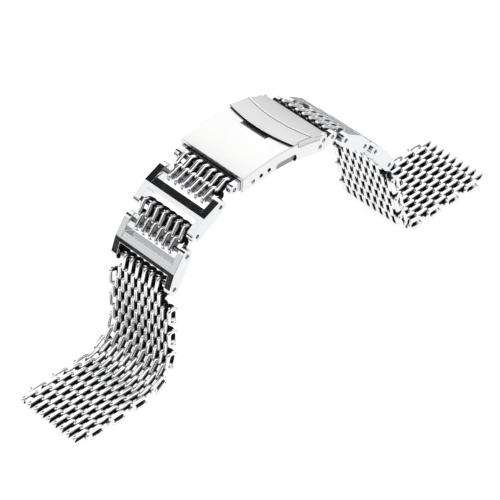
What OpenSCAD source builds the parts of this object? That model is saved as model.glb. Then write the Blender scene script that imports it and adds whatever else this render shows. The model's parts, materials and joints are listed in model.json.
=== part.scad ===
/* [Band] */
// Width of the mesh over its edge loops, which is the lug width of the watch it fits
band_w = 24; // [23:0.25:24.5]
/* [Mesh] */
// Diameter of the mesh wire
wire_d = 0.88; // [0.76:0.02:0.9]
// Distance from one row of the mesh to the next
row_pitch = 3.75; // [3.7:0.05:4]
// Thickness of the mesh over its wire
mesh_t = 3.3; // [3.2:0.05:3.6]
// Play between the bends of two linked rows
link_play = 0.14; // [0.1:0.02:0.2]
/* [Frames] */
// Distance between the two pins of a frame
pin_pitch = 9.44; // [9:0.1:11]
// Distance between the pins on both sides of a mesh block
pin_gap = 5.8; // [5.6:0.1:6]
// Diameter of the pins that carry the mesh
pin_d = 1.2; // [1:0.05:1.2]
// Width of a frame over its side arms
frame_w = 22; // [21.6:0.1:22.4]
// Height of the side arms
arm_h = 3.8; // [3.4:0.1:4]
// Width of the crossbar between the two windows of a frame
bar_w = 3.4; // [2.8:0.1:3.6]
// Height of a frame's ridge over its pins
ridge_h = 2.5; // [2.1:0.1:2.8]
/* [Clasp] */
// Distance between the outer pins of the two end connectors
clasp_pins = 35.05; // [35:0.05:36]
// Length of the cover
cover_l = 29.8; // [29.6:0.1:30]
// Width of the cover over its side walls
cover_w = 23; // [23:0.1:24]
// Radius of the cover's curved top
cover_r = 55.4; // [50:1:70]
// Height of the cover's top over the connector pins
cover_top = 5; // [4.9:0.05:5.2]
// Thickness of the cover's sheet
cover_t = 0.9; // [0.8:0.05:0.95]
// Thickness of the folding blades
blade_t = 0.8; // [0.6:0.05:0.8]
// Diameter of the hinge pins of the clasp
hinge_d = 1.2; // [1:0.05:1.2]
// Diameter of the two spring bars of the connectors
bar_d = 1.5; // [1.3:0.05:1.6]
/* [Stance] */
// Lean of the upper mesh block, left side
block_upper_left = 24; // [20:1:30]
// Lean of the upper mesh block, right side
block_upper_right = 38; // [32:1:40]
// Lean of the upper frame, left side
frame_upper_left = 31; // [28:0.5:36]
// Lean of the upper frame, right side
frame_upper_right = 39.5; // [36:0.5:42]
// Lean of the lower mesh block, left side
block_lower_left = 52.5; // [48:0.5:58]
// Lean of the lower mesh block, right side
block_lower_right = 46; // [43:1:50]
// Lean of the lower frame, left side
frame_lower_left = 61; // [58:1:66]
// Lean of the lower frame, right side
frame_lower_right = 54; // [50:1:57]
// Lean of the standing part of the mesh, left side
leg_left = 88; // [84:1:90]
// Lean of the standing part of the mesh, right side
leg_right = 77; // [74:1:82]
/* [Hidden] */
$fn = 48;

// Sides of the band along X
left = -1;
right = 1;

// Rows on each side, the last two of which lie together at the end
rows = 16;
single_rows = 14;
// Half turns of a full row, and how many fewer the narrow coils between the arms have at each edge
full_turns = 17;
inset_turns = 2;

// Wire of the mesh: its square section lies inside the round wire
wire_side = 0.9 * wire_d;
coil_l = row_pitch + 2 * wire_d + link_play;
link_lap = coil_l - row_pitch;
// The strands of the edge loops lie one half pitch further apart than the bends of a full row
half_pitch = (band_w - wire_d) / (full_turns + 1);
strand_z = (mesh_t - wire_side) / 2;
// A bend crosses from one strand to the next within this height over and under the middle
cross_z = 0.45;
// How far a coil reaches past the pin that it hangs on
pin_reach = (coil_l + row_pitch - pin_gap) / 2;

// Frames and connectors
arm_r = arm_h / 2;
pin_play = 0.05;
pin_inset = 0.1;
side_play = 0.1;
connector_r = 1.5;
// The arms clear the bends of the narrow coils by this much
coil_play = 0.15;
arm_inner = (full_turns / 2 - inset_turns) * half_pitch + wire_side / 2 + coil_play;
arm_t = frame_w / 2 - arm_inner;
// Circle that the corners of a coil on its pin stay in
coil_swing = norm([pin_reach, mesh_t / 2]);
ridge_x = 0.45;
bar_floor = 0.2;

// Clasp, in its own plane: x along the chord of the connector pins, z up
cover_left = -15.6;
cover_right = cover_left + cover_l;
cover_x = -0.5;
wall_in = cover_w / 2 - cover_t;
wall_r = 62;
wall_x = -2.5;
wall_z = -0.1;
recess = 1.15;
step_x = 3.6;
shelf_end = 11;
adjust_first = [-12, 0.57];
adjust_step = 2.8;
adjust_rise = 0.43;
adjust_holes = 3;
tip_d = 1.1;
button_at = [-0.25, 0.74];
slot_l = 7.4;
slot_h = 2.4;
button_play = 0.2;
flange_t = 0.6;
flange_rim = 0.6;
nail_at = 0.4;
nail_l = 9.3;
nail_r = 6;
nail_depth = 0.4;

// Safety lock
lock_pin_at = [13.2, 1.5];
lock_gap = 0.15;
lock_rise = 0.15;
lip_gap = 0.1;
lip_rise = 0.65;
lock_end = 13.9;
cheek_r = 2;
edge_r = 39.7;
edge_x = 1;
lip_w = 5.4;
crease_w = 0.9;
crease_depth = 0.35;
knuckle_r = 1.1;
knuckle_y = 5.3;

// Folding blades
blade_hinge = [12, 0];
fold_hinge = [-8.2, -1];
end_hinge = [14.35, -1.6];
blade_r = 60;
blade_x = 2.5;
blade_z = -0.4;
rail_in = 5.6;
rail_out = 8.1;
blade_half = 5.3;
tongue_half = 3;
hinge_r = 1.1;
bridge_gap = 0.15;
bridge_t = 0.7;
bridge_from = 1.5;
bridge_to = 8.5;
crossbar_from = 13.35;
crossbar_to = clasp_pins / 2 - coil_swing - side_play;
crossbar_top = 0.2;
crossbar_floor = -2.4;

// Change of lean between the two coils of a block
block_fan = 3;
// Leans of the first row and of the rows where the standing mesh turns onto the floor
first_left = 76;
first_right = 65;
turn_left = [74, 54, 33, 14];
turn_right = [72, 40, 8, 0];
stand_rows = 5;

// Leans of the pieces of one side, from the connector pin to the band's end
function leans(s) = let (
    bu = s < 0 ? block_upper_left : block_upper_right,
    fu = s < 0 ? frame_upper_left : frame_upper_right,
    bl = s < 0 ? block_lower_left : block_lower_right,
    fl = s < 0 ? frame_lower_left : frame_lower_right,
    stand = s < 0 ? leg_left : leg_right,
    turn = s < 0 ? turn_left : turn_right
) [
    bu - block_fan, bu + block_fan, fu, bl - block_fan, bl + block_fan, fl,
    s < 0 ? first_left : first_right, for (i = [1:stand_rows]) stand, each turn,
    for (i = [1:rows - 1 - stand_rows - len(turn)]) 0
];
lean_left = leans(left);
lean_right = leans(right);
// Distance from one joint of a side to the next
reach = [pin_gap / 2, pin_gap / 2, pin_pitch, pin_gap / 2, pin_gap / 2, pin_pitch,
    pin_gap / 2, for (i = [2:rows]) row_pitch];
first_row = 6;
last_row = first_row + rows - 1;

function sum(list, n, i = 0) = i >= n ? 0 : list[i] + sum(list, n, i + 1);
function runs(lean) = [for (i = [0:last_row]) reach[i] * cos(lean[i])];
function drops(lean) = [for (i = [0:last_row]) reach[i] * sin(lean[i])];
drop_left = sum(drops(lean_left), last_row + 1);
drop_right = sum(drops(lean_right), last_row + 1);
// The clasp tilts by what its two legs differ in height
tilt = asin((drop_left - drop_right) / clasp_pins);
clasp_z = mesh_t / 2 + (drop_left + drop_right) / 2;
half_span = clasp_pins / 2 * cos(tilt);
clasp_x = (sum(runs(lean_left), last_row + 1) - sum(runs(lean_right), last_row + 1)) / 2;

function lean_of(s) = s < 0 ? lean_left : lean_right;
// Joint i of a side, as [x, z]
function joint_at(s, i) = [
    clasp_x + s * (half_span + sum(runs(lean_of(s)), i)),
    clasp_z - s * clasp_pins / 2 * sin(tilt) - sum(drops(lean_of(s)), i)
];

// Puts children, drawn outward along X from a joint, at joint i of a side
module on_side(s, i) {
    at = joint_at(s, i);
    translate([at.x, 0, at.y]) {
        if (s < 0) mirror([1, 0, 0]) rotate([0, lean_left[i], 0]) children();
        else rotate([0, lean_right[i], 0]) children();
    }
}

// Puts children drawn in the clasp's own plane in their place
module in_clasp() {
    translate([clasp_x, 0, clasp_z]) rotate([0, tilt, 0]) children();
}

// Outline in X and Z, as thick as from y0 to y1
module upright(y0, y1) {
    translate([0, y1, 0]) rotate([90, 0, 0]) linear_extrude(y1 - y0) children();
}

// Cylinder along Y about the point at = [x, z]
module across(at, r, y0, y1) {
    translate([at.x, y1, at.y]) rotate([90, 0, 0]) cylinder(r = r, h = y1 - y0);
}

// Strip of a ring about [x, z], between two radii and two places along X
module arc_strip(center, r_in, r_out, x0, x1) {
    intersection() {
        translate(center) difference() {
            circle(r_out, $fn = 180);
            circle(r_in, $fn = 180);
        }
        translate([x0, -r_out]) square([x1 - x0, 3 * r_out]);
    }
}

// Flat bar with round ends between two points
module arm_outline(p, q, r) {
    d = q - p;
    l = norm(d);
    n = [-d.y, d.x] / l * r;
    translate(p) circle(r);
    translate(q) circle(r);
    polygon([p + n, p - n, q - n, q + n]);
}

// Coils of the mesh. Each is a flattened spiral of the same hand, with straight strands on both faces and
// bends in steps of one half pitch across the band. Near bends, at low x, are the even ones, or the odd ones
// where shift is 1. The far bends of a row hook the near bends of the next one, so shift alternates.
function is_near(j, shift) = (j + shift) % 2 == 0;
function bend_y(j) = (j - full_turns / 2) * half_pitch;
// The strand that follows bend j: its place across the band, and its face
function strand_y(j) = bend_y(j + 0.5);
function face_of(j, shift) = is_near(j, shift) ? 1 : -1;
function point(near, y, z) = [near ? wire_side / 2 : coil_l - wire_side / 2, y, z];
function corner(near, y, face) = point(near, y, face * strand_z);
// Bend j, from the strand before it to the strand after it
function crossing(j, shift) = let (near = is_near(j, shift), z = face_of(j, shift) * cross_z) [
    point(near, strand_y(j - 1), -z), point(near, strand_y(j), z)];
// Flat loop round the edge, from its end on the hidden face to its last corner
function edge_loop(near, y, face) = [
    corner(near, y, -face), corner(!near, y, -face), corner(!near, y, face), corner(near, y, face)];
function reversed(list) = [for (i = [len(list) - 1:-1:0]) list[i]];

function coil_path(first, last, shift, closed) = [
    if (closed) each edge_loop(is_near(first, shift), strand_y(first - 1), face_of(first - 1, shift)),
    if (closed) each crossing(first, shift) else point(is_near(first, shift), strand_y(first), 0),
    for (j = [first:last - 1]) each [
        corner(is_near(j, shift), strand_y(j), face_of(j, shift)),
        corner(!is_near(j, shift), strand_y(j), face_of(j, shift)),
        if (j < last - 1) each crossing(j + 1, shift)],
    if (closed) each crossing(last, shift) else point(is_near(last, shift), strand_y(last - 1), 0),
    if (closed) each reversed(edge_loop(is_near(last, shift), strand_y(last), face_of(last, shift)))
];

// Outward normal in X and Z of the stretch from a to b, and its sideways normal in Y and Z
function outward(a, b) = let (d = [b.x - a.x, b.z - a.z]) [-d.y, d.x] / norm(d);
function sideways(a, b) = let (d = [b.y - a.y, b.z - a.z]) b.x == a.x ? [abs(d.y), -d.x * sign(d.y)] / norm(d) : [1, 0];
// Mitred offset where two stretches meet
function mitre(n, m) = (n + m) / (1 + n * m);
function ring(path, i) = let (
    p = path[i], last = len(path) - 1,
    before = [path[max(i, 1) - 1], path[max(i, 1)]],
    after = [path[min(i, last - 1)], path[min(i, last - 1) + 1]],
    o = mitre(outward(before[0], before[1]), outward(after[0], after[1])) * wire_side / 2,
    w = mitre(sideways(before[0], before[1]), sideways(after[0], after[1])) * wire_side / 2
) [
    [p.x + o.x, p.y - w.x, p.z + o.y - w.y], [p.x + o.x, p.y + w.x, p.z + o.y + w.y],
    [p.x - o.x, p.y + w.x, p.z - o.y + w.y], [p.x - o.x, p.y - w.x, p.z - o.y - w.y]
];

// One wire coil: flattened turns from bend first to bend last, from x = 0
module coil(first, last, shift, closed) {
    path = coil_path(first, last, shift, closed);
    n = len(path);
    points = [for (i = [0:n - 1]) each ring(path, i)];
    tube = [for (i = [0:n - 2]) for (k = [0:3]) let (a = 4 * i + k, b = 4 * i + (k + 1) % 4)
        each [[a, b, b + 4], [a, b + 4, a + 4]]];
    caps = [[0, 2, 1], [0, 3, 2], [4 * n - 4, 4 * n - 3, 4 * n - 2], [4 * n - 4, 4 * n - 2, 4 * n - 1]];
    polyhedron(points, concat(tube, caps), convexity = 10);
}

// Narrow coil between the arms, hung on a pin or linked to the coil before it
module narrow_coil(on_pin, shift) {
    color("gainsboro") translate([on_pin ? -pin_reach : -link_lap / 2, 0, 0])
        coil(inset_turns, full_turns - inset_turns, shift, false);
}

// Row k of the standing and lying mesh: every second row ends in a closed loop at the edges
module mesh_row(k) {
    if (k <= 2) narrow_coil(k == 1, k % 2);
    else color("gainsboro") translate([-link_lap / 2, 0, 0]) coil(0, full_turns, k % 2, k % 2 == 1);
}

module single_row(s, k) {
    on_side(s, first_row + k - 1) mesh_row(k);
}

module end_rows(s) {
    for (k = [single_rows + 1:rows]) single_row(s, k);
}

// Coil k of the mesh blocks beside the frames
module block_coil(s, k) {
    i = k <= 2 ? k - 1 : k;
    on_side(s, i) narrow_coil(k % 2 == 1, (k + 1) % 2);
}

// Height of a frame's top over its pins: two slopes that meet in a ridge
ridge_at = pin_pitch / 2 + ridge_x;
function roof(x) = arm_r + (ridge_h - arm_r) * (x < ridge_at ? x / ridge_at : (pin_pitch - x) / (pin_pitch - ridge_at));

// Frame with two windows: its first pin at x = 0
module frame(s, i) {
    bar_in = pin_pitch / 2 - bar_w / 2;
    bar_out = bar_in + bar_w;
    color("silver") on_side(s, i) difference() {
        union() {
            for (y = [-frame_w / 2, arm_inner])
                upright(y, y + arm_t) {
                    arm_outline([0, 0], [pin_pitch, 0], arm_r);
                    polygon([[0, 0], [0, roof(0)], [ridge_at, ridge_h], [pin_pitch, roof(pin_pitch)], [pin_pitch, 0]]);
                }
            upright(-arm_inner, arm_inner) polygon([
                [bar_in, bar_floor - arm_r], [bar_out, bar_floor - arm_r], [bar_out, roof(bar_out)],
                [ridge_at, ridge_h], [bar_in, roof(bar_in)]]);
        }
        for (x = [0, pin_pitch]) across([x, 0], pin_d / 2 + pin_play / 2, -band_w, band_w);
    }
}

module frame_pins(s, i) {
    y = frame_w / 2 - pin_inset;
    color("gray") on_side(s, i) for (x = [0, pin_pitch]) across([x, 0], pin_d / 2, -y, y);
}

// Place of a connector's outer pin in the clasp's plane
function outer_pin(s) = [s * clasp_pins / 2, 0];
connector_half = wall_in - side_play;

module connector_arms(s, inner) {
    for (y = [-connector_half, arm_inner])
        upright(y, y + connector_half - arm_inner) arm_outline(inner, outer_pin(s), connector_r);
}

module end_connector_left() {
    color("silver") in_clasp() difference() {
        union() {
            connector_arms(left, adjust_first);
            across(adjust_first, connector_r - side_play, -arm_inner, arm_inner);
        }
        across(adjust_first, bar_d / 2 + pin_play, -band_w, band_w);
        across(outer_pin(left), pin_d / 2 + pin_play / 2, -band_w, band_w);
    }
}

module end_connector_right() {
    notch = tongue_half + lip_gap + side_play;
    color("silver") in_clasp() difference() {
        union() {
            connector_arms(right, end_hinge);
            translate([crossbar_from, -arm_inner, crossbar_floor])
                cube([crossbar_to - crossbar_from, 2 * arm_inner, crossbar_top - crossbar_floor]);
        }
        across(end_hinge, bar_d / 2 + pin_play, -band_w, band_w);
        across(end_hinge, knuckle_r + button_play, -notch, notch);
        translate([crossbar_from - 1, -notch, crossbar_floor - 1])
            cube([end_hinge.x - crossbar_from + 1, 2 * notch, end_hinge.y - crossbar_floor + 1 + blade_t]);
        across(outer_pin(right), pin_d / 2 + pin_play / 2, -band_w, band_w);
    }
}

module connector_pin_left() {
    y = connector_half - pin_inset;
    color("gray") in_clasp() across(outer_pin(left), pin_d / 2, -y, y);
}

module connector_pins_right() {
    y = connector_half - pin_inset;
    color("gray") in_clasp() {
        across(outer_pin(right), pin_d / 2, -y, y);
        across(end_hinge, bar_d / 2, -y, y);
    }
}

module adjust_spring_bar() {
    y = cover_w / 2 - pin_inset;
    color("gray") in_clasp() {
        across(adjust_first, bar_d / 2, -connector_half, connector_half);
        across(adjust_first, tip_d / 2, -y, y);
    }
}

// Cover of the clasp
cover_center = [cover_x, cover_top - cover_r];

module slot_outline(l, h) {
    translate([h / 2 - l / 2, 0]) circle(h / 2);
    translate([l / 2 - h / 2, 0]) circle(h / 2);
    translate([h / 2 - l / 2, -h / 2]) square([l - h, h]);
}

module wall_outline() {
    difference() {
        union() {
            arc_strip(cover_center, cover_r / 2, cover_r, cover_left, step_x);
            arc_strip(cover_center, cover_r / 2, cover_r - recess, step_x, cover_right);
            translate(lock_pin_at) circle(cheek_r);
        }
        translate([wall_x, wall_z - wall_r]) circle(wall_r, $fn = 180);
        translate([cover_right, -cover_r]) square([cheek_r * 2, 2 * cover_r]);
        translate(button_at) slot_outline(slot_l, slot_h);
    }
}

module clasp_cover() {
    half = cover_w / 2;
    color("silver") in_clasp() difference() {
        union() {
            upright(-half, half) arc_strip(cover_center, cover_r - cover_t, cover_r, cover_left, step_x);
            upright(-wall_in, wall_in) arc_strip(cover_center, cover_r - recess - cover_t, cover_r - recess,
                step_x - cover_t, shelf_end);
            upright(-half, -wall_in) wall_outline();
            upright(wall_in, half) wall_outline();
        }
        for (k = [0:adjust_holes - 1])
            across(adjust_first + k * [adjust_step, adjust_rise], tip_d / 2 + pin_play, -band_w, band_w);
        across(lock_pin_at, hinge_d / 2 + pin_play / 2, -band_w, band_w);
        across(blade_hinge, hinge_d / 2 + pin_play / 2, -band_w, band_w);
        across([nail_at, cover_top + nail_r - nail_depth], nail_r, -nail_l / 2, nail_l / 2);
    }
}

// Flip lock over the right half of the cover
module lock_plan(r_in, r_out) {
    translate([edge_x + edge_r, 0, 0]) difference() {
        cylinder(r = r_out, h = 2 * cover_top, $fn = 180);
        if (r_in > 0) translate([0, 0, -1]) cylinder(r = r_in, h = 2 * cover_top + 2, $fn = 180);
    }
}

module safety_lock() {
    half = cover_w / 2;
    crease_r = edge_r - lip_w;
    color("silver") in_clasp() difference() {
        union() {
            upright(-half, half) arc_strip(cover_center, cover_r - recess + lock_gap, cover_r + lock_rise,
                step_x + lock_gap, lock_end);
            intersection() {
                upright(-half, half) arc_strip(cover_center, cover_r + lip_gap, cover_r + lip_rise,
                    edge_x - 1, edge_x + 4 * lip_w);
                lock_plan(crease_r, edge_r);
            }
            across(lock_pin_at, knuckle_r, -knuckle_y, knuckle_y);
        }
        for (y = [-half - 1, wall_in - side_play])
            across(lock_pin_at, cheek_r + lock_gap, y, y + cover_t + side_play + 1);
        across(lock_pin_at, hinge_d / 2 + pin_play / 2, -band_w, band_w);
        translate([edge_x + edge_r, 0, 0]) rotate_extrude($fn = 180) polygon([
            [crease_r - crease_w, cover_top], [crease_r - crease_w / 2, cover_top - 2 * crease_depth],
            [crease_r, cover_top]]);
    }
}

module safety_lock_pin() {
    y = cover_w / 2 - pin_inset;
    color("gray") in_clasp() across(lock_pin_at, hinge_d / 2, -y, y);
}

module push_button(s) {
    y0 = wall_in - lock_gap - flange_t;
    y1 = cover_w / 2 - pin_inset;
    color("gray") in_clasp() mirror([0, s < 0 ? 1 : 0, 0]) {
        upright(y0, y1) translate(button_at) slot_outline(slot_l - 2 * button_play, slot_h - 2 * button_play);
        upright(y0, y0 + flange_t) translate(button_at) slot_outline(slot_l + flange_rim, slot_h + flange_rim);
    }
}

// Folding blades: the outer one is a fork and the inner one lies between its rails
blade_center = [blade_x, blade_z - blade_r];
blade_top = blade_r + blade_t / 2;
blade_floor = blade_r - blade_t / 2;

module blade_outer() {
    bridge_in = blade_top + bridge_gap;
    bridge_out = bridge_in + bridge_t;
    color("silver") in_clasp() difference() {
        union() {
            for (y = [-rail_out, rail_in]) {
                y1 = y + rail_out - rail_in;
                upright(y, y1) {
                    arc_strip(blade_center, blade_floor, blade_top, fold_hinge.x, blade_hinge.x);
                    arc_strip(blade_center, blade_floor, bridge_out, bridge_from, bridge_to);
                }
                across(blade_hinge, hinge_r, y, y1);
                across(fold_hinge, hinge_r, y, y1);
            }
            upright(-rail_out, rail_out) arc_strip(blade_center, bridge_in, bridge_out, bridge_from, bridge_to);
        }
        across(blade_hinge, hinge_d / 2 + pin_play / 2, -band_w, band_w);
        across(fold_hinge, hinge_d / 2 + pin_play / 2, -band_w, band_w);
    }
}

module blade_inner() {
    color("silver") in_clasp() difference() {
        union() {
            upright(-blade_half, blade_half)
                arc_strip(blade_center, blade_floor, blade_top, fold_hinge.x, crossbar_from - 2 * side_play);
            upright(-tongue_half, tongue_half)
                arc_strip(blade_center, blade_floor, blade_top, blade_hinge.x, end_hinge.x - bar_d / 2);
            across(fold_hinge, hinge_r, -blade_half, blade_half);
            across(end_hinge, knuckle_r, -tongue_half, tongue_half);
        }
        across(fold_hinge, hinge_d / 2 + pin_play / 2, -band_w, band_w);
        across(end_hinge, bar_d / 2 + pin_play, -band_w, band_w);
    }
}

module cover_blade_pin() {
    y = cover_w / 2 - pin_inset;
    color("gray") in_clasp() across(blade_hinge, hinge_d / 2, -y, y);
}

module blade_pin() {
    color("gray") in_clasp() across(fold_hinge, hinge_d / 2, -rail_out, rail_out);
}

clasp_cover();
safety_lock();
safety_lock_pin();
push_button(left);  // push_button_near
push_button(right);  // push_button_far
blade_outer();
blade_inner();
cover_blade_pin();
blade_pin();
adjust_spring_bar();
end_connector_left();
end_connector_right();
connector_pin_left();
connector_pins_right();
frame(left, 2);  // frame_left_upper
frame(left, 5);  // frame_left_lower
frame(right, 2);  // frame_right_upper
frame(right, 5);  // frame_right_lower
frame_pins(left, 2);  // frame_pins_left_upper
frame_pins(left, 5);  // frame_pins_left_lower
frame_pins(right, 2);  // frame_pins_right_upper
frame_pins(right, 5);  // frame_pins_right_lower
for (k = [1:4]) {
    block_coil(left, k);
    block_coil(right, k);
}
for (k = [1:single_rows]) {
    single_row(left, k);
    single_row(right, k);
}
end_rows(left);  // end_rows_left
end_rows(right);  // end_rows_right
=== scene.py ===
"""Steel mesh watch band with window frames and a fold-over clasp.

The band stands in an arch on its two open ends. Lengths are in metres, and
sizes that are given in millimetres are multiplied by MM.
"""
import json
import math

import bmesh
import bpy
from bpy.props import FloatProperty, FloatVectorProperty, IntProperty, PointerProperty
from bpy.types import NodeSocket, Operator, Panel, PropertyGroup
from mathutils import Matrix, Vector


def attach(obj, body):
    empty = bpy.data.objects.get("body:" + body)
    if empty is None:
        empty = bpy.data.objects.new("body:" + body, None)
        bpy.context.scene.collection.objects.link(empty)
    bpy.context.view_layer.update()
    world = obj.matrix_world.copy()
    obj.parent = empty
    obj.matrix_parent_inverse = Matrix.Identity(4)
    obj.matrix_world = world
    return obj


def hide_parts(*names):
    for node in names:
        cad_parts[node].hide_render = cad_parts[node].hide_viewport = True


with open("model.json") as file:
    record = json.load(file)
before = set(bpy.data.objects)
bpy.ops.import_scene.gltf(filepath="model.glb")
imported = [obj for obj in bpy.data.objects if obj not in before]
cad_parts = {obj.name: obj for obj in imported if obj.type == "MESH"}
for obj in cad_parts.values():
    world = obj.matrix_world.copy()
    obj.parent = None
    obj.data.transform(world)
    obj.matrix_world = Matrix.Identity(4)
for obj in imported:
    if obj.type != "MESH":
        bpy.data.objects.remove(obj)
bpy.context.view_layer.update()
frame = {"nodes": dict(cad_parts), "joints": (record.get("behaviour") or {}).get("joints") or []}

bl_info = {
    "name": "Mesh Watch Band",
    "version": (1, 0, 0),
    "blender": (4, 5, 0),
    "location": "View3D > Sidebar > Band",
    "description": "Builds a steel mesh watch band with a fold-over clasp",
    "category": "Object",
}

MM = 0.001
SIDES = {"left": -1, "right": 1}
# Rows of the standing mesh on each side: the last two are one body, and the first two are
# narrow, because they lie between the arms of the lower frame
ROWS = 16
NARROW_ROWS = 2
# Bodies of one side, from the clasp outwards
CHAIN = ("block_{}_1", "block_{}_2", "frame_{}_upper", "block_{}_3", "block_{}_4",
         "frame_{}_lower") + tuple(f"row_{{}}_{k}" for k in range(1, ROWS - 1)) + ("end_rows_{}",)
# Places in that chain: the first row, and each numbered coil of the blocks
FIRST_ROW = 6
BLOCK_COILS = {0: 1, 1: 2, 3: 3, 4: 4}
# Number of the last bend of a full row, and how many fewer a narrow coil has at each edge
LAST_BEND = 17
INSET = 2
# Degrees past the middle of its first and last bend at which a narrow coil is cut off
CUT = 20
# Share of a quarter turn after which the end of an edge loop hides in the mesh
HIDDEN_TURN = 0.72
# Share of a pitch past the last bend from which on the wire is part of an edge loop
PAST_BEND = 0.2
# Distances within which points are merged, and count as level with each other
MERGE = 0.001 * MM
LEVEL = 0.01 * MM
# The solids' facets are flat up to the first angle, and shading breaks from the second on
FLAT_ANGLE = math.radians(0.6)
SHARP_ANGLE = math.radians(40)
# Stretches across the wider roundings, and along the bead of the lock
RIM_STEPS = 3
DOME_STEPS = 4
BEAD_STEPS = 40
# Least part of a face's normal that points across the band in a side wall, upwards in the top
# and along the clasp in a cut edge, and the most that points across the band in a bore; cut
# edges and bores get painted shade
SIDE_WALL = 0.99
TOP_SHEET = 0.85
CUT_EDGE = 0.5
BORE_WALL = 0.3
# Play round a button's slot within which a face is part of it, and gets painted shade
SLOT_PLAY = 0.05 * MM
# Point that the camera and the lamps aim at
AIM = Vector((-4.75, 0, 16.8)) * MM
# Lamps: name, place in metres and power
LAMPS = (
    ("key", (-0.4, -0.4, 0.9), 1.0),
    ("top", (0.1, -0.1, 1.1), 1.0),
    ("fill", (0.7, -0.2, 0.7), 0.5),
)
# Brightness of the room by the angle from straight up towards +X, in degrees: behind the band,
# and in front of it
BACK_ROOM = (
    (-118, 0.0), (-98, 0.02), (-92, 0.1), (-86, 1.0), (-64, 1.15), (-54, 1.7), (-46, 1.7),
    (-34, 1.25), (-24, 0.02), (2, 0.02), (9, 1.7), (62, 1.7), (74, 1.4), (86, 0.9), (104, 0.6),
    (120, 0.3))
FRONT_ROOM = (
    (-90, 0.02), (-60, 0.1), (-45, 1.6), (-10, 1.6), (50, 1.4), (68, 1.2), (90, 0.6))
# Y of a direction over which the front room turns into the back one, and over which, to either
# side, both turn into an even grey
SEAM = (-0.35, 0.15)
FLANK = (0.86, 0.96)


def linear(text):
    """Linear colour, with alpha, of an sRGB hex value"""
    parts = [int(text[i:i + 2], 16) / 255 for i in (0, 2, 4)]
    return [p / 12.92 if p <= 0.04045 else ((p + 0.055) / 1.055) ** 2.4 for p in parts] + [1]


def colour(name, text, about):
    """Colour property with an sRGB hex default"""
    return FloatVectorProperty(name=name, description=about, subtype="COLOR", size=4,
                               min=0, max=1, default=linear(text))


def length(name, value, about, low=0.0):
    """Length property with a default in metres"""
    return FloatProperty(name=name, description=about, default=value, min=low,
                         subtype="DISTANCE", unit="LENGTH", precision=5)


def spot(name, along, up, about):
    """Place in the clasp's own plane, in metres"""
    return FloatVectorProperty(name=name, description=about, default=(along, up), size=2,
                               subtype="XYZ", unit="LENGTH", precision=5)


def tilt(name, degrees, about):
    """Angle property with a default in degrees"""
    return FloatProperty(name=name, description=about, default=math.radians(degrees),
                         subtype="ANGLE", unit="ROTATION")


def share_of(name, value, about):
    """Property for a share, from 0 to 1"""
    return FloatProperty(name=name, description=about, default=value, min=0, max=1,
                         subtype="FACTOR")


def glow(name, value, about):
    """Brightness property"""
    return FloatProperty(name=name, description=about, default=value, min=0)


class MeshSizes(PropertyGroup):
    """Sizes of the wire coils"""
    wire: length("Wire", 1.12 * MM, "Diameter of the mesh wire")
    thickness: length("Thickness", 3.3 * MM, "Thickness of the mesh over its wire")
    width: length("Width", 23.9 * MM, "Width of the mesh over its edge loops")
    lean: length("Lean", -0.5 * MM, "How far a row's outer face sits aside from its inner face",
                 -1)
    block_lean: length("Block lean", -1.0 * MM, "The same for the coils of the blocks", -1)
    row: length("Row pitch", 3.75 * MM, "Distance from one row to the next")
    pin_gap: length("Pin gap", 5.8 * MM, "Distance between the pins on both sides of a mesh block")
    play: length("Play", 0.06 * MM, "Play between the bends of two linked rows")
    end_trim: length("End trim", 0.24 * MM, "How much shorter the free end of the last row is")
    sway: tilt("Sway", 7.5, "Sideways lean of the coils of the blocks")
    # Painted shade: wire nearer the mesh's middle than this height is painted dark, and it turns
    # to its own colour over the next height
    shade_depth: length("Recess", 1.0 * MM, "Height over the mesh's middle up to which wire is dull")
    fade: length("Fade", 0.3 * MM, "Height over which the dull wire turns bright")
    sides: IntProperty(name="Sides", description="Faces round the wire", default=16, min=6)
    steps: IntProperty(name="Steps", description="Stretches of a quarter bend", default=7, min=2)


class SteelSizes(PropertyGroup):
    """Edges of the solid steel pieces"""
    frame_edge: length("Frame edge", 0.16 * MM, "Rounding of the frames' edges")
    cover_edge: length("Cover edge", 0.14 * MM, "Rounding of the clasp's edges")
    cover_rim: length("Cover rim", 0.4 * MM, "Rounding of the cover's and lock's long edges")
    button_sink: length("Button sink", 0.45 * MM, "How far the buttons lie inside the cover")
    button_dome: length("Button dome", 0.5 * MM, "Rounding of the buttons' ends")
    web_length: length("Web length", 2.85 * MM, "From the spring bar to the web's free edge")
    web_half: length("Web half width", 8.85 * MM, "Half the web's width, between the arms")
    web_thickness: length("Web thickness", 1.6 * MM, "Thickness of the left connector's web")
    blade_edge: length("Blade edge", 0.1 * MM, "Rounding of the blades' edges")
    pin_edge: length("Pin edge", 0.2 * MM, "Bevel at the ends of the pins")
    pin_sink: length("Pin sink", 0.25 * MM, "How much deeper than the solids' the pins end")


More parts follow.
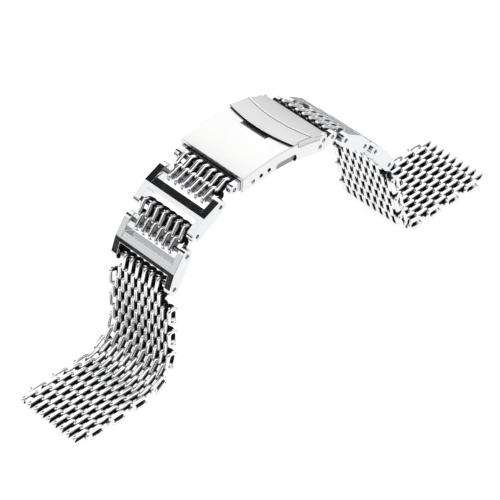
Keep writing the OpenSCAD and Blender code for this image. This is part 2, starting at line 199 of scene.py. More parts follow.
class ClaspSizes(PropertyGroup):
    """Sizes of the clasp, in its own plane"""
    bar: spot("Bar", -12 * MM, 0.57 * MM, "Place of the spring bar, along the clasp and up")
    lock_hinge: spot("Lock hinge", 13.2 * MM, 1.5 * MM, "Place of the lock's hinge")
    width: length("Cover width", 23 * MM, "Width of the cover and the lock")
    radius: length("Cover radius", 55.4 * MM, "Radius of the curved top")
    top: length("Cover top", 5 * MM, "Height of the top over the clasp's plane")
    middle: length("Cover middle", -0.5 * MM, "Place along the clasp of the top's highest line",
                   -1)
    lip_end: length("Lip end", 3.2 * MM, "Place along the clasp that the lip's edge stays before")
    lip_root: length("Lip root", 3.7 * MM, "Place along the clasp where the lip leaves the lock")
    lip_start: length("Lip start", 2.8 * MM, "Place along the clasp of the lip's two corners")
    lip_reach: length("Lip reach", 1.0 * MM, "How much further the lip goes over the cover")
    lip_thin: share_of("Lip thinning", 0.18, "Share of its height that the lip's edge loses")
    lip_flare: length("Lip flare", 0.38 * MM, "How far the lip's ends stand out past the cover")
    lip: length("Lip rise", 0.65 * MM, "Height of the lock's lip over the top")
    crease_middle: length("Crease middle", 40.7 * MM, "Middle of the crease's arc along the clasp")
    crease_radius: length("Crease radius", 34.3 * MM, "Radius of the crease's arc")
    bead: length("Bead", 0.7 * MM, "Radius of the bead along the crease")
    bead_sink: share_of("Bead sink", 0.65, "Share of its radius that the bead's middle lies deep")
    hole_step: spot("Hole step", 2.8 * MM, 0.43 * MM, "From one adjustment hole to the next")
    holes: IntProperty(name="Holes", description="Adjustment holes of the cover", default=3, min=1)
    hole_reach: length("Hole reach", 0.7 * MM, "Distance from its axis that a hole's bore is in")
    button: spot("Button", -0.25 * MM, 0.74 * MM, "Middle of the button's slot")
    slot_length: length("Slot length", 7.4 * MM, "Length of the button's slot")
    slot_height: length("Slot height", 2.4 * MM, "Height of the button's slot")


class Finishes(PropertyGroup):
    """Colours of the steel finishes"""
    brushed: colour("Brushed", "DEDEDE", "Brushed steel of the cover")
    brushed_light: colour("Brushed, light", "E5E5E4", "Lighter patches of the brushed steel")
    satin: colour("Satin", "C6C6C8", "Blasted steel of the lock")
    satin_light: colour("Satin, light", "D2D2D2", "Lighter patches of the blasted steel")
    polished: colour("Polished", "DEDFE1", "Bright steel of the frames and connectors")
    wire: colour("Wire", "EFEFF0", "Tumbled wire of the mesh")
    # Painted shade: dark colour painted on the wire deep inside the mesh, and on hole and slot
    # walls, the lip's cut edge and the connector's web
    skin: colour("Skin", "1E1E20", "Drawing skin of the wire between the crowns")
    # Partly painted shade: darker than the other steel, so that pin ends read dark in their holes
    turned: colour("Turned", "8E8F93", "Turned steel of the pins and buttons")
    floor: colour("Floor", "F7F7F7", "Acrylic sheet of the table")


class Studio(PropertyGroup):
    """Camera and light"""
    azimuth: tilt("Azimuth", 43.895, "Direction the camera looks in, from +Y")
    elevation: tilt("Elevation", 41.176, "Angle the camera looks down at")
    distance: length("Distance", 0.8, "From the camera to the band")
    lens: FloatProperty(name="Lens", description="Focal length", default=218.2, min=1,
                        unit="CAMERA")
    brightness: glow("Brightness", 1.0, "Strength of the room's light")
    side_light: glow("Side light", 0.9, "Brightness of the room straight to both sides")
    matt_light: glow("Matt light", 0.45, "Brightness of the room for the matt table")
    backdrop: glow("Backdrop", 1.5, "Brightness of the room behind the table, seen directly")
    lamp_size: length("Lamp size", 0.8, "Width of each square lamp")
    floor_radius: length("Floor radius", 0.17, "Radius of the round table")
    floor_sides: IntProperty(name="Floor sides", description="Corners of the table's rim",
                             default=96, min=3)
    floor_light: glow("Floor light", 0.88, "Brightness of the table by its own lamps")
    exposure: FloatProperty(name="Exposure", description="Exposure of the picture, in stops",
                            default=-0.35)


def settings(name):
    """Property group of the scene"""
    return getattr(bpy.context.scene, name)


def add_node(tree, kind, inputs=None, **values):
    """Adds a node, sets its values and links or sets its inputs"""
    node = tree.nodes.new(kind)
    for key, value in values.items():
        setattr(node, key, value)
    for socket, value in (inputs or {}).items():
        if isinstance(value, NodeSocket):
            tree.links.new(value, node.inputs[socket])
        else:
            node.inputs[socket].default_value = value
    return node


def grey(value):
    """Grey of a brightness, with alpha"""
    return (value, value, value, 1)


def new_object(name, data):
    """Object in the scene, at the origin"""
    thing = bpy.data.objects.new(name, data)
    bpy.context.scene.collection.objects.link(thing)
    return thing


def as_mesh(shape, name):
    """Mesh of a finished bmesh, which is freed"""
    mesh = bpy.data.meshes.new(name)
    shape.to_mesh(mesh)
    shape.free()
    return mesh


def new_material(name):
    """Empty material with its tree and output"""
    material = bpy.data.materials.new(name)
    material.use_nodes = True
    material.node_tree.nodes.clear()
    output = add_node(material.node_tree, "ShaderNodeOutputMaterial")
    return material, material.node_tree, output


def brushed_steel(name, dark, light):
    """Stainless steel sheet, brushed along the band.

    The brush leaves fine straight lines, so the sheet is bright but blurs what
    it mirrors. The real lines are 0.03 mm apart and are drawn 0.12 mm apart so
    that they show.
    """
    material, tree, output = new_material(name)
    place = add_node(tree, "ShaderNodeTexCoord").outputs["Object"]
    # Lines of about 14 mm, which run some 6 mm down the walls
    lines = add_node(tree, "ShaderNodeMapping", {
        "Vector": place, "Scale": (1 / (14 * MM), 1 / (0.12 * MM), 1 / (6 * MM))})
    grain = add_node(tree, "ShaderNodeTexNoise", {
        "Vector": lines.outputs["Vector"], "Scale": 1.0, "Detail": 3.0, "Roughness": 0.6})
    # Faint lighter patches of about 9 mm
    patch = add_node(tree, "ShaderNodeTexNoise", {
        "Vector": place, "Scale": 1 / (9 * MM), "Detail": 2.0})
    rough = add_node(tree, "ShaderNodeMapRange", {
        "Value": grain.outputs["Fac"], "To Min": 0.22, "To Max": 0.38})
    tint = add_node(tree, "ShaderNodeMix", {
        "Factor": patch.outputs["Fac"], "A": dark, "B": light}, data_type="RGBA")
    bump = add_node(tree, "ShaderNodeBump", {
        "Height": grain.outputs["Fac"], "Strength": 0.12, "Distance": 0.02 * MM})
    shader = add_node(tree, "ShaderNodeBsdfPrincipled", {
        "Base Color": tint.outputs["Result"], "Metallic": 1.0,
        "Roughness": rough.outputs["Result"], "Normal": bump.outputs["Normal"]})
    tree.links.new(shader.outputs["BSDF"], output.inputs["Surface"])
    return material


def bright_steel(name, tint, rough, wave):
    """Stainless steel with fine wear in patches of the size wave.

    Its roughness varies between the two values of rough.
    """
    material, tree, output = new_material(name)
    place = add_node(tree, "ShaderNodeTexCoord").outputs["Object"]
    patch = add_node(tree, "ShaderNodeTexNoise", {
        "Vector": place, "Scale": 1 / wave, "Detail": 4.0, "Roughness": 0.6})
    haze = add_node(tree, "ShaderNodeMapRange", {
        "Value": patch.outputs["Fac"], "From Min": 0.3, "From Max": 0.7,
        "To Min": rough[0], "To Max": rough[1]})
    bump = add_node(tree, "ShaderNodeBump", {
        "Height": patch.outputs["Fac"], "Strength": 0.05, "Distance": 0.01 * MM})
    shader = add_node(tree, "ShaderNodeBsdfPrincipled", {
        "Base Color": tint, "Metallic": 1.0,
        "Roughness": haze.outputs["Result"], "Normal": bump.outputs["Normal"]})
    tree.links.new(shader.outputs["BSDF"], output.inputs["Surface"])
    return material


def wire_steel():
    """Drawn stainless wire, with shade painted on it deep inside the mesh.

    The wire between the crowns of both faces is painted dark and made rougher. This is painted
    shade, so that the gaps of the mesh look black.
    """
    material, tree, output = new_material("wire_steel")
    place = add_node(tree, "ShaderNodeTexCoord").outputs["Object"]
    unshaded = add_node(tree, "ShaderNodeAttribute", attribute_name="unshaded").outputs["Fac"]
    # The tumbling left spots of haze of about 0.8 mm
    patch = add_node(tree, "ShaderNodeTexNoise", {
        "Vector": place, "Scale": 1 / (0.8 * MM), "Detail": 4.0, "Roughness": 0.6})
    haze = add_node(tree, "ShaderNodeMapRange", {
        "Value": patch.outputs["Fac"], "From Min": 0.3, "From Max": 0.7,
        "To Min": 0.1, "To Max": 0.18})
    rough = add_node(tree, "ShaderNodeMix", {
        "Factor": unshaded, "A": 0.45, "B": haze.outputs["Result"]})
    # Painted shade: where the mask is 0, the wire takes the dark colour
    tint = add_node(tree, "ShaderNodeMix", {"Factor": unshaded}, data_type="RGBA")
    tint.inputs["A"].default_value = settings("finishes").skin
    tint.inputs["B"].default_value = settings("finishes").wire
    shader = add_node(tree, "ShaderNodeBsdfPrincipled", {
        "Base Color": tint.outputs["Result"], "Metallic": 1.0,
        "Roughness": rough.outputs["Result"]})
    tree.links.new(shader.outputs["BSDF"], output.inputs["Surface"])
    return material


def lit_floor():
    """White acrylic sheet, lit from below: bright, so shadows on it stay faint"""
    material, tree, output = new_material("lit_acrylic")
    place = add_node(tree, "ShaderNodeTexCoord").outputs["Object"]
    mottle = add_node(tree, "ShaderNodeTexNoise", {"Vector": place, "Scale": 1 / (40 * MM)})
    rough = add_node(tree, "ShaderNodeMapRange", {
        "Value": mottle.outputs["Fac"], "To Min": 0.8, "To Max": 0.9})
    shader = add_node(tree, "ShaderNodeBsdfPrincipled", {
        "Base Color": settings("finishes").floor, "Roughness": rough.outputs["Result"],
        "Specular IOR Level": 0.1, "Emission Color": settings("finishes").floor,
        "Emission Strength": settings("studio").floor_light})
    tree.links.new(shader.outputs["BSDF"], output.inputs["Surface"])
    return material


def finish(name):
    """Material of that name, made once"""
    found = bpy.data.materials.get(name)
    if found:
        return found
    tints = settings("finishes")
    if name == "brushed_steel":
        return brushed_steel(name, tints.brushed, tints.brushed_light)
    if name == "satin_steel":
        # The cover's brushed steel, in greyer colours
        return brushed_steel(name, tints.satin, tints.satin_light)
    if name == "shade_painted_steel":
        # Painted shade: hole and slot walls, the lip's cut edge and the web are dark, with no
        # mirror
        return bright_steel(name, tints.skin, rough=(0.4, 0.5), wave=0.5 * MM)
    if name == "polished_steel":
        # Mirror polish: the wheel leaves faint waves of about 3 mm
        return bright_steel(name, tints.polished, rough=(0.1, 0.17), wave=3 * MM)
    if name == "wire_steel":
        return wire_steel()
    # Turned on a lathe: a fine satin. Its grey, darker than the other steel, is partly painted
    # shade, so that the ends of pins and buttons read dark in their holes and slots
    return bright_steel(name, tints.turned, rough=(0.22, 0.34), wave=0.5 * MM)


def joint_place(body):
    """Place of the joint that a body hangs on"""
    return Vector(next(j["pos_m"] for j in frame["joints"] if j["child"] == body))


def upright(side, at, along):
    """Matrix of a place on a side: X along the band, Y across it, Z outwards from the wrist"""
    up = Vector((-along.z, 0, along.x)) * SIDES[side]
    return Matrix((
        (along.x, 0, up.x, at.x), (0, 1, 0, at.y), (along.z, 0, up.z, at.z), (0, 0, 0, 1)))


def link_frame(side, i):
    """Matrix of piece i of a side, with X towards the next piece outwards"""
    at = [joint_place(body.format(side)) for body in CHAIN]
    last = len(at) - 1
    along = (at[i + 1] - at[i] if i < last else at[last] - at[last - 1]).normalized()
    return upright(side, at[i], along)


class CoilLine:
    """Centre line of one flattened coil, from x = 0 outwards.

    All coils turn the same way. Strands run straight along the band on both
    faces, half a pitch apart, and half-round bends join them. Bends at low x,
    the near ones, are the even ones, or the odd ones with shift 1: so the far
    bends of a row hook the near bends of the next row.
    """

    def __init__(self, shift, lean, trim=0):
        self.sizes = settings("mesh_sizes")
        self.shift = shift
        self.lean = lean
        self.half = (self.sizes.thickness - self.sizes.wire) / 2
        self.pitch = half_pitch()
        self.near = self.sizes.wire / 2 + self.half
        self.far = coil_length() - trim - self.near

    def is_near(self, bend):
        """Whether a bend lies at low x"""
        return (bend + self.shift) % 2 == 0

    def across(self, place):
        """Y of a bend, or of the strand after bend n at n + 0.5"""
        return (place - LAST_BEND / 2) * self.pitch

    def turn(self, place, near, start, end, drift=0):
        """Points of a bend between two angles: -90 is the inner face, 90 the outer one"""
        count = max(2, round(abs(end - start) / 90 * self.sizes.steps))
        points = []
        for k in range(count + 1):
            angle = math.radians(start + (end - start) * k / count)
            reach = self.half * math.cos(angle)
            y = self.across(place) + (drift * self.pitch - self.lean) / 2 * math.sin(angle)
            points.append(Vector((self.near - reach if near else self.far + reach, y,
                                  self.half * math.sin(angle))))
        return points

    def bend(self, j, start=-90, end=90):
        """Points of bend j, from the strand before it to the strand after it"""
        if self.is_near(j):
            return self.turn(j, True, start, end, 1)
        return self.turn(j, False, -start, -end, -1)

    def edge(self, place, face, near):
        """Points of an edge loop, from a strand on one face round to where its end hides"""
        start = 90 * face
        return (self.turn(place, not near, start, -start) +
                self.turn(place, near, -start, start * HIDDEN_TURN))

    def between_arms(self, first, last):
        """Line from bend first to bend last, cut off in their middle to clear the arms"""
        line = self.bend(first, start=-CUT)
        for j in range(first + 1, last):
            line += self.bend(j)
        return line + self.bend(last, end=CUT)

    def points(self, first, last, closed):
        """Whole line from bend first to bend last"""
        line = []
        if closed:
            face = 1 if not self.is_near(first) else -1
            line += reversed(self.edge(first - 0.5, face, self.is_near(first)))
        line += self.bend(first)
        for j in range(first + 1, last + 1):
            line += self.bend(j)
        if closed:
            face = 1 if self.is_near(last) else -1
            line += self.edge(last + 0.5, face, self.is_near(last))
        return line


def half_pitch():
    """Distance across the band from bend to bend"""
    sizes = settings("mesh_sizes")
    return (sizes.width - sizes.wire - abs(sizes.lean)) / (LAST_BEND + 1)


def coil_length():
    """Length of a coil that laps its neighbours by two wires and some play"""
    sizes = settings("mesh_sizes")
    return sizes.row + 2 * sizes.wire + sizes.play


def tube_mesh(name, lines, radius):
    """Mesh of round tubes along lines of points"""
    curve = bpy.data.curves.new(name, "CURVE")
    curve.dimensions = "3D"
    curve.bevel_depth = radius
    # A tube has four faces, and two more for each step of its resolution
    curve.bevel_resolution = settings("mesh_sizes").sides // 2 - 2
    curve.use_fill_caps = True
    for line in lines:
        spline = curve.splines.new("POLY")
        spline.points.add(len(line) - 1)
        for point, at in zip(spline.points, line):
            point.co = (*at, 1)
    holder = new_object(name, curve)
    graph = bpy.context.evaluated_depsgraph_get()
    mesh = bpy.data.meshes.new_from_object(holder.evaluated_get(graph))
    bpy.data.objects.remove(holder)
    shape = bmesh.new()
    shape.from_mesh(mesh)
    bmesh.ops.remove_doubles(shape, verts=shape.verts, dist=MERGE)
    bmesh.ops.recalc_face_normals(shape, faces=shape.faces)
    shape.to_mesh(mesh)
    shape.free()
    return mesh


def wire_mesh(name, lines, place, bright_from=math.inf):
    """Wire of the mesh along lines of points, in its place.

    Its attribute is a painted shade mask. It is 0 deep inside the mesh, where shade is painted on
    the wire, and 1 where the wire keeps its own colour: on both faces, on the edge loops and from
    x = bright_from on.
    """
    sizes = settings("mesh_sizes")
    mesh = tube_mesh(name, lines, sizes.wire / 2)
    unshaded = mesh.attributes.new("unshaded", "FLOAT", "POINT")
    edge = (LAST_BEND / 2 + PAST_BEND) * half_pitch()
    for vertex, value in zip(mesh.vertices, unshaded.data):
        x, y, z = vertex.co
        share = min(1, max(0, (abs(z) - sizes.shade_depth) / sizes.fade))
        bright = abs(y) > edge or x > bright_from
        value.value = 1 if bright else share * share * (3 - 2 * share)
    mesh.transform(place)
    if place.determinant() < 0:
        mesh.flip_normals()
    return mesh


def set_piece(name, mesh, body, nodes, material):
    """Puts a finished piece in the scene, on its body and in place of its CAD nodes"""
    mesh.name = name
    mesh.materials.clear()
    mesh.materials.append(finish(material))
    mesh.shade_smooth()
    mesh.set_sharp_from_angle(angle=SHARP_ANGLE)
    piece = new_object(name, mesh)
    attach(piece, body)
    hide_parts(*nodes)
    return piece


def narrow_line(on_pin, shift, lean):
    """Line of a narrow coil between the arms, hung on a pin or linked to the coil before it"""
    sizes = settings("mesh_sizes")
    lap = coil_length() - sizes.row
    reach = lap / 2 + (sizes.row - sizes.pin_gap / 2 if on_pin else 0)
    return moved(CoilLine(shift, lean).between_arms(INSET, LAST_BEND - INSET), -reach)


def block_line(k):
    """Line of coil k of a block: the two coils lean sideways towards the link between them"""
    sizes = settings("mesh_sizes")
    line = narrow_line(k % 2 == 1, (k + 1) % 2, sizes.block_lean)
    pin = 0 if k % 2 else sizes.pin_gap / 2
    for point in line:
        point.y -= math.tan(sizes.sway) * abs(point.x - pin)
    return line


def row_line(row, along=0):
    """Line of a row of the standing mesh, moved along the band from its joint"""
    sizes = settings("mesh_sizes")
    if row <= NARROW_ROWS:
        return narrow_line(row == 1, row % 2, sizes.lean)
    trim = sizes.end_trim if row == ROWS else 0
    return moved(CoilLine(row % 2, sizes.lean, trim).points(0, LAST_BEND, row % 2 == 1),
                 along - (coil_length() - sizes.row) / 2)


def moved(line, along):
    """Line moved along the band"""
    return [point + Vector((along, 0, 0)) for point in line]


class BAND_OT_blocks(Operator):
    """Makes the narrow coils between the clasp and the frames"""
    bl_idname = "band.blocks"
    bl_label = "Mesh Blocks"

    def execute(self, context):
        for side in SIDES:
            for i, k in BLOCK_COILS.items():
                node = f"block_{side}_{k}"
                # The second coil gets no painted shade past the pin that it lies round
                bright_from = math.inf if k % 2 else settings("mesh_sizes").pin_gap / 2
                mesh = wire_mesh(node, [block_line(k)], link_frame(side, i), bright_from)
                set_piece(f"coil_{node}", mesh, node, [node], "wire_steel")
        return {"FINISHED"}


class BAND_OT_rows(Operator):
    """Makes the rows of the standing and lying mesh"""
    bl_idname = "band.rows"
    bl_label = "Mesh Rows"

    def execute(self, context):
        pitch = settings("mesh_sizes").row
        for side in SIDES:
            for i in range(FIRST_ROW, len(CHAIN)):
                row = i - FIRST_ROW + 1
                lines, bright_from = [row_line(row)], math.inf
                if i == len(CHAIN) - 1:
                    # The end node holds two rows, and the open loops of the last one get no
                    # painted shade
                    lines.append(row_line(ROWS, pitch))
                    bright_from = 2 * pitch
                node = CHAIN[i].format(side)
                mesh = wire_mesh(node, lines, link_frame(side, i), bright_from)
                set_piece(f"coil_{node}", mesh, node, [node], "wire_steel")
        return {"FINISHED"}


def half_width(shape):
    """Distance of a shape's outermost points from the band's middle plane"""
    return max(abs(v.co.y) for v in shape.verts)


def round_edges(shape, edges, width, steps, clamp=False):
    """Rounds edges of a shape"""
    bmesh.ops.bevel(shape, geom=edges, offset=width, offset_type="OFFSET", segments=steps,
                    profile=0.5, affect="EDGES", clamp_overlap=clamp, material=-1)


def rounded_copy(node, edge, steps, crease=32, sink=0, rim=0, dome=0):
    """Copy of a CAD piece with its edges rounded where they turn by more than crease degrees.

    Its ends across the band are set back by sink. The long edges of its top get a
    wider rounding, rim, and the edges of its ends another, dome.
    """
    shape = bmesh.new()
    shape.from_mesh(frame["nodes"][node].data)
    bmesh.ops.remove_doubles(shape, verts=shape.verts, dist=MERGE)
    bmesh.ops.dissolve_limit(
        shape, angle_limit=FLAT_ANGLE, verts=shape.verts, edges=shape.edges)
    ends = half_width(shape)
    if rim:
        top = [e for e in shape.edges if len(e.link_faces) == 2
               and any(abs(f.normal.y) > SIDE_WALL for f in e.link_faces)
               and any(f.normal.z > TOP_SHEET for f in e.link_faces)
               and min(abs(v.co.y) for v in e.verts) > ends - LEVEL]
        round_edges(shape, top, rim, RIM_STEPS)
        ends = half_width(shape)
    if dome:
        outer = [e for e in shape.edges if min(abs(v.co.y) for v in e.verts) > ends - LEVEL]
        round_edges(shape, outer, dome, DOME_STEPS)
    sharp = [e for e in shape.edges
             if len(e.link_faces) == 2 and e.calc_face_angle() > math.radians(crease)]
    for v in shape.verts:
        if abs(v.co.y) > ends - sink:
            v.co.y -= math.copysign(sink, v.co.y)
    round_edges(shape, sharp, edge, steps, clamp=True)
    return as_mesh(shape, node)


def steel_piece(node, body, edge, slot, material, steps=2, **shape):
    """Rounded copy of a CAD piece in its place"""
    mesh = rounded_copy(node, edge, steps, **shape)
    piece = set_piece(f"steel_{node}", mesh, body, [node], material)
    weigh = piece.modifiers.new("flat faces", "WEIGHTED_NORMAL")
    weigh.keep_sharp = True
    return piece


class BAND_OT_frames(Operator):
    """Makes the four window frames and their pins"""
    bl_idname = "band.frames"
    bl_label = "Window Frames"

    def execute(self, context):
        sizes = settings("steel_sizes")
        for side in SIDES:
            for level in ("upper", "lower"):
                body = f"frame_{side}_{level}"
                # The ridges of the crossbars turn by less than other edges do
                steel_piece(body, body, sizes.frame_edge, "polished", "polished_steel",
                            crease=10)
                steel_piece(f"frame_pins_{side}_{level}", body, sizes.pin_edge, "pins",
                            "turned_shaded_steel", sink=sizes.pin_sink)
        return {"FINISHED"}


def clasp_place():
    """Matrix of the clasp's own plane: X along it towards the lock's hinge, Z up"""
    sizes = settings("clasp_sizes")
    low, high = joint_place("connector_left"), joint_place("safety_lock")
    drawn = Vector(sizes.lock_hinge) - Vector(sizes.bar)
    seen = high - low
    turn = Matrix.Rotation(math.atan2(drawn.y, drawn.x) - math.atan2(seen.z, seen.x), 4, "Y")
    from_bar = Matrix.Translation((-sizes.bar[0], 0, -sizes.bar[1]))
    return Matrix.Translation(low) @ turn @ from_bar


def paint_bore_shade(cover):
    """Paints shade on the walls of the cover's adjustment holes and button slots"""
    sizes = settings("clasp_sizes")
    cover.data.materials.append(finish("shade_painted_steel"))
    back = clasp_place().inverted()
    first, step = Vector(sizes.bar), Vector(sizes.hole_step)
    holes = [first + k * step for k in range(sizes.holes)]
    for face in cover.data.polygons:
        if abs(face.normal.y) > BORE_WALL:
            continue
        at = back @ face.center
        flat = Vector((at.x, at.z))
        bored = any((flat - hole).length < sizes.hole_reach for hole in holes)
        aside = flat - Vector(sizes.button)
        along = max(0, abs(aside.x) - (sizes.slot_length - sizes.slot_height) / 2)
        if bored or math.hypot(along, aside.y) < sizes.slot_height / 2 + SLOT_PLAY:
            face.material_index = 1


def paint_lip_edge_shade(lock):
    """Paints shade on the cut edge of the lock's lip, for the dark gap under the lip"""
    sizes = settings("clasp_sizes")
    lock.data.materials.append(finish("shade_painted_steel"))
    back = clasp_place().inverted()
    for face in lock.data.polygons:
        at, way = back @ face.center, back.to_3x3() @ face.normal
        if at.x < sizes.lip_end and way.x < -CUT_EDGE:
            face.material_index = 1


def reach_lip(lock):
    """Draws the lock's lip out over the cover, and its ends a little past the cover's sides"""
    sizes = settings("clasp_sizes")
    place = clasp_place()
    back = place.inverted()
    pivot = Matrix.Translation((sizes.middle, 0, sizes.top - sizes.radius))
    for vert in lock.data.vertices:
        at = back @ vert.co
        share = min(1, (sizes.lip_root - at.x) / (sizes.lip_root - sizes.lip_start))
        if share > 0:
            at.y *= 1 + share * sizes.lip_flare / (sizes.width / 2)
            turn = Matrix.Rotation(-share * sizes.lip_reach / sizes.radius, 4, "Y")
            at = turn @ (pivot.inverted() @ at)
            far = math.hypot(at.x, at.z)
            thin = 1 - share * sizes.lip_thin * (far - sizes.radius) / far
            vert.co = place @ pivot @ Vector((at.x * thin, at.y, at.z * thin))


def crease_highlight_bead():
    """Line of the rolled bead along the crease of the lock"""
    sizes = settings("clasp_sizes")
    half = (sizes.width - sizes.bead) / 2
    line = []
    for k in range(BEAD_STEPS + 1):
        y = half * (2 * k / BEAD_STEPS - 1)
        x = sizes.crease_middle - math.sqrt(sizes.crease_radius ** 2 - y ** 2)
        rise = math.sqrt((sizes.radius + sizes.lip) ** 2 - (x - sizes.middle) ** 2)
        z = sizes.top - sizes.radius + rise
        line.append(Vector((x, y, z - sizes.bead * sizes.bead_sink)))
    return line


class BAND_OT_clasp(Operator):
    """Makes the clasp's cover, lock, buttons and blades"""
    bl_idname = "band.clasp"
    bl_label = "Clasp"

    def execute(self, context):
        sizes = settings("steel_sizes")
        cover = steel_piece("clasp_cover", "clasp", sizes.cover_edge, "brushed",
                            "brushed_steel", rim=sizes.cover_rim)
        paint_bore_shade(cover)
        lock = steel_piece("safety_lock", "safety_lock", sizes.cover_edge, "brushed",
                           "satin_steel", rim=sizes.cover_rim)
        paint_lip_edge_shade(lock)
        reach_lip(lock)
        bead = tube_mesh("bead", [crease_highlight_bead()], settings("clasp_sizes").bead)
        bead.transform(clasp_place())
        # The bead takes the cover's brighter steel, not the lock's: a painted highlight along the
        # crease
        set_piece("crease_highlight_bead", bead, "safety_lock", [], "brushed_steel")
        for side in ("near", "far"):
            steel_piece(f"push_button_{side}", f"button_{side}", sizes.blade_edge, "pins",
                        "turned_shaded_steel", sink=sizes.button_sink, dome=sizes.button_dome)
        for node, body in (("safety_lock_pin", "clasp"), ("cover_blade_pin", "clasp"),
                           ("adjust_spring_bar", "clasp"), ("blade_pin", "blade_outer")):
            steel_piece(node, body, sizes.pin_edge, "pins", "turned_shaded_steel")
        for node in ("blade_outer", "blade_inner"):
            steel_piece(node, node, sizes.blade_edge, "polished", "polished_steel")
        return {"FINISHED"}


def connector_web():
    """Plate between the left connector's arms, from the spring bar towards the first coil, painted
    dark as painted shade under the cover's edge
    """
    sizes = settings("steel_sizes")
    bar, pin = joint_place("connector_left"), joint_place("block_left_1")
    place = upright("left", bar, (pin - bar).normalized())
    extent = (sizes.web_length, 2 * sizes.web_half, sizes.web_thickness)
    shape = bmesh.new()
    bmesh.ops.create_cube(shape, size=1)
    bmesh.ops.scale(shape, vec=extent, verts=shape.verts)
    bmesh.ops.translate(shape, vec=(sizes.web_length / 2, 0, 0), verts=shape.verts)
    round_edges(shape, shape.edges[:], sizes.web_thickness / 4, RIM_STEPS, clamp=True)
    bmesh.ops.transform(shape, matrix=place, verts=shape.verts)
    bmesh.ops.recalc_face_normals(shape, faces=shape.faces)
    return as_mesh(shape, "web")


class BAND_OT_connectors(Operator):
    """Makes the connectors between the clasp and the mesh"""
    bl_idname = "band.connectors"
    bl_label = "Connectors"

    def execute(self, context):
        sizes = settings("steel_sizes")
        for side, pins in (("left", "connector_pin_left"), ("right", "connector_pins_right")):
            body = f"connector_{side}"
            steel_piece(f"end_connector_{side}", body, sizes.frame_edge, "polished",
                        "polished_steel")
            steel_piece(pins, body, sizes.pin_edge, "pins", "turned_shaded_steel")
        # The web is painted dark: painted shade under the cover's edge
        set_piece("connector_web", connector_web(), "connector_left", [],
                  "shade_painted_steel")
        return {"FINISHED"}


def room_ramp(tree, share, stops):
    """Brightness of the room over a full turn"""
    top = max(value for angle, value in stops)
    node = add_node(tree, "ShaderNodeValToRGB", {"Fac": share})
    ramp = node.color_ramp
    ramp.interpolation = "LINEAR"
    while len(ramp.elements) < len(stops):
        ramp.elements.new(0.5)
    for element, (angle, value) in zip(ramp.elements, stops):
        element.position = 0.5 + angle / 360
    for element, (angle, value) in zip(ramp.elements, stops):
        element.color = grey(value / top)
    return add_node(tree, "ShaderNodeMix", {
        "Factor": 1.0, "A": node.outputs["Color"], "B": grey(top)},
        data_type="RGBA", blend_type="MULTIPLY").outputs["Result"]


def point_at(thing, at, target):
    """Places a lamp or the camera and turns its -Z towards a target"""
    thing.location = at
    thing.rotation_euler = (Vector(target) - Vector(at)).to_track_quat("-Z", "Y").to_euler()


def make_floor():
    """Round table that the band stands on"""
    studio = settings("studio")
    shape = bmesh.new()
    bmesh.ops.create_circle(
        shape, cap_ends=True, segments=studio.floor_sides, radius=studio.floor_radius)
    mesh = as_mesh(shape, "floor")
    mesh.materials.append(lit_floor())
    floor = new_object("floor", mesh)


def make_room():
    """World with the room that the steel mirrors"""
    studio = settings("studio")
    world = bpy.data.worlds.new("studio")
    bpy.context.scene.world = world
    world.use_nodes = True
    tree = world.node_tree
    tree.nodes.clear()
    way = add_node(tree, "ShaderNodeSeparateXYZ", {
        "Vector": add_node(tree, "ShaderNodeTexCoord").outputs["Generated"]})
    turn = add_node(tree, "ShaderNodeMath", {0: way.outputs["X"], 1: way.outputs["Z"]},
                    operation="ARCTAN2").outputs["Value"]
    share = add_node(tree, "ShaderNodeMapRange", {
        "Value": turn, "From Min": -math.pi, "From Max": math.pi}).outputs["Result"]
    behind = room_ramp(tree, share, BACK_ROOM)
    before = room_ramp(tree, share, FRONT_ROOM)
    depth = add_node(tree, "ShaderNodeMapRange", {
        "Value": way.outputs["Y"], "From Min": SEAM[0], "From Max": SEAM[1]},
        interpolation_type="SMOOTHSTEP")
    room = add_node(tree, "ShaderNodeMix", {
        "Factor": depth.outputs["Result"], "A": before, "B": behind}, data_type="RGBA")
    # The room's angles meet straight to both sides, so it is one even grey there
    aside = add_node(tree, "ShaderNodeMath", {0: way.outputs["Y"]}, operation="ABSOLUTE")
    flank = add_node(tree, "ShaderNodeMapRange", {
        "Value": aside.outputs["Value"], "From Min": FLANK[0], "From Max": FLANK[1]},
        interpolation_type="SMOOTHSTEP")
    even = add_node(tree, "ShaderNodeMix", {
        "Factor": flank.outputs["Result"], "A": room.outputs["Result"],
        "B": grey(studio.side_light)}, data_type="RGBA")
    path = add_node(tree, "ShaderNodeLightPath")
    matt = add_node(tree, "ShaderNodeMix", {
        "Factor": path.outputs["Is Diffuse Ray"], "A": even.outputs["Result"],
        "B": grey(studio.matt_light)}, data_type="RGBA")
    sky = add_node(tree, "ShaderNodeMix", {
        "Factor": path.outputs["Is Camera Ray"], "A": matt.outputs["Result"],
        "B": grey(studio.backdrop)}, data_type="RGBA")
    back = add_node(tree, "ShaderNodeBackground", {
        "Color": sky.outputs["Result"], "Strength": studio.brightness})
    output = add_node(tree, "ShaderNodeOutputWorld")
    tree.links.new(back.outputs["Background"], output.inputs["Surface"])


def make_lamps():
    """Soft lamps, which the steel doesn't mirror"""
    for name, at, power in LAMPS:
        light = bpy.data.lights.new(name, "AREA")
        light.shape = "SQUARE"
        light.size = settings("studio").lamp_size
        light.energy = power
        lamp = new_object(name, light)
        point_at(lamp, at, AIM)
        lamp.visible_glossy = False


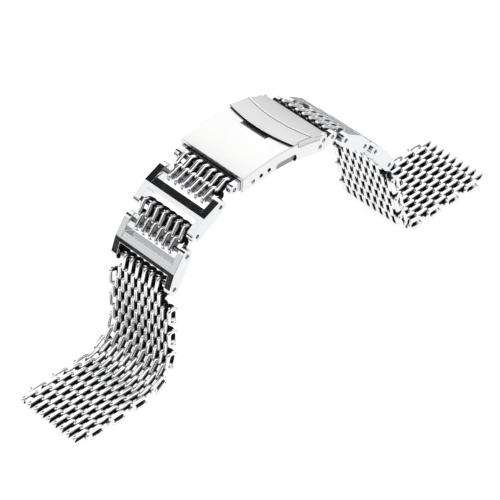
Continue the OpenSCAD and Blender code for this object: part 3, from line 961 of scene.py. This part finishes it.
def make_camera():
    """Camera at the picture's angle"""
    studio = settings("studio")
    level = math.cos(studio.elevation)
    back_way = Vector((-math.sin(studio.azimuth) * level, -math.cos(studio.azimuth) * level,
                       math.sin(studio.elevation)))
    camera = bpy.data.cameras.new("camera")
    camera.lens = studio.lens
    camera.sensor_width = 36
    camera.clip_start = 10 * MM
    eye = new_object("camera", camera)
    point_at(eye, AIM + back_way * studio.distance, AIM)
    bpy.context.scene.camera = eye
    bpy.context.scene.view_settings.view_transform = "Standard"
    bpy.context.scene.view_settings.exposure = studio.exposure


class BAND_OT_stage(Operator):
    """Makes the floor, the light and the camera"""
    bl_idname = "band.stage"
    bl_label = "Stage"

    def execute(self, context):
        make_floor()
        make_room()
        make_lamps()
        make_camera()
        return {"FINISHED"}


class BAND_PT_panel(Panel):
    """Lists the steps and sizes of the band"""
    bl_idname = "BAND_PT_panel"
    bl_label = "Mesh Watch Band"
    bl_space_type = "VIEW_3D"
    bl_region_type = "UI"
    bl_category = "Band"

    def draw(self, context):
        for operator in OPERATORS:
            self.layout.operator(operator.bl_idname)
        for name, group in GROUPS.items():
            box = self.layout.box()
            for key in group.__annotations__:
                box.prop(getattr(context.scene, name), key)


GROUPS = {
    "mesh_sizes": MeshSizes,
    "steel_sizes": SteelSizes,
    "clasp_sizes": ClaspSizes,
    "finishes": Finishes,
    "studio": Studio,
}
OPERATORS = (
    BAND_OT_stage, BAND_OT_clasp, BAND_OT_connectors, BAND_OT_frames, BAND_OT_blocks,
    BAND_OT_rows)


def register():
    for kind in (*GROUPS.values(), *OPERATORS, BAND_PT_panel):
        bpy.utils.register_class(kind)
    for name, group in GROUPS.items():
        setattr(bpy.types.Scene, name, PointerProperty(type=group))


def unregister():
    for name in GROUPS:
        delattr(bpy.types.Scene, name)
    for kind in reversed((*GROUPS.values(), *OPERATORS, BAND_PT_panel)):
        bpy.utils.unregister_class(kind)


def main():
    register()
    bpy.ops.band.stage()
    bpy.ops.band.clasp()
    bpy.ops.band.connectors()
    bpy.ops.band.frames()
    bpy.ops.band.blocks()
    bpy.ops.band.rows()


if __name__ == "__main__":
    main()
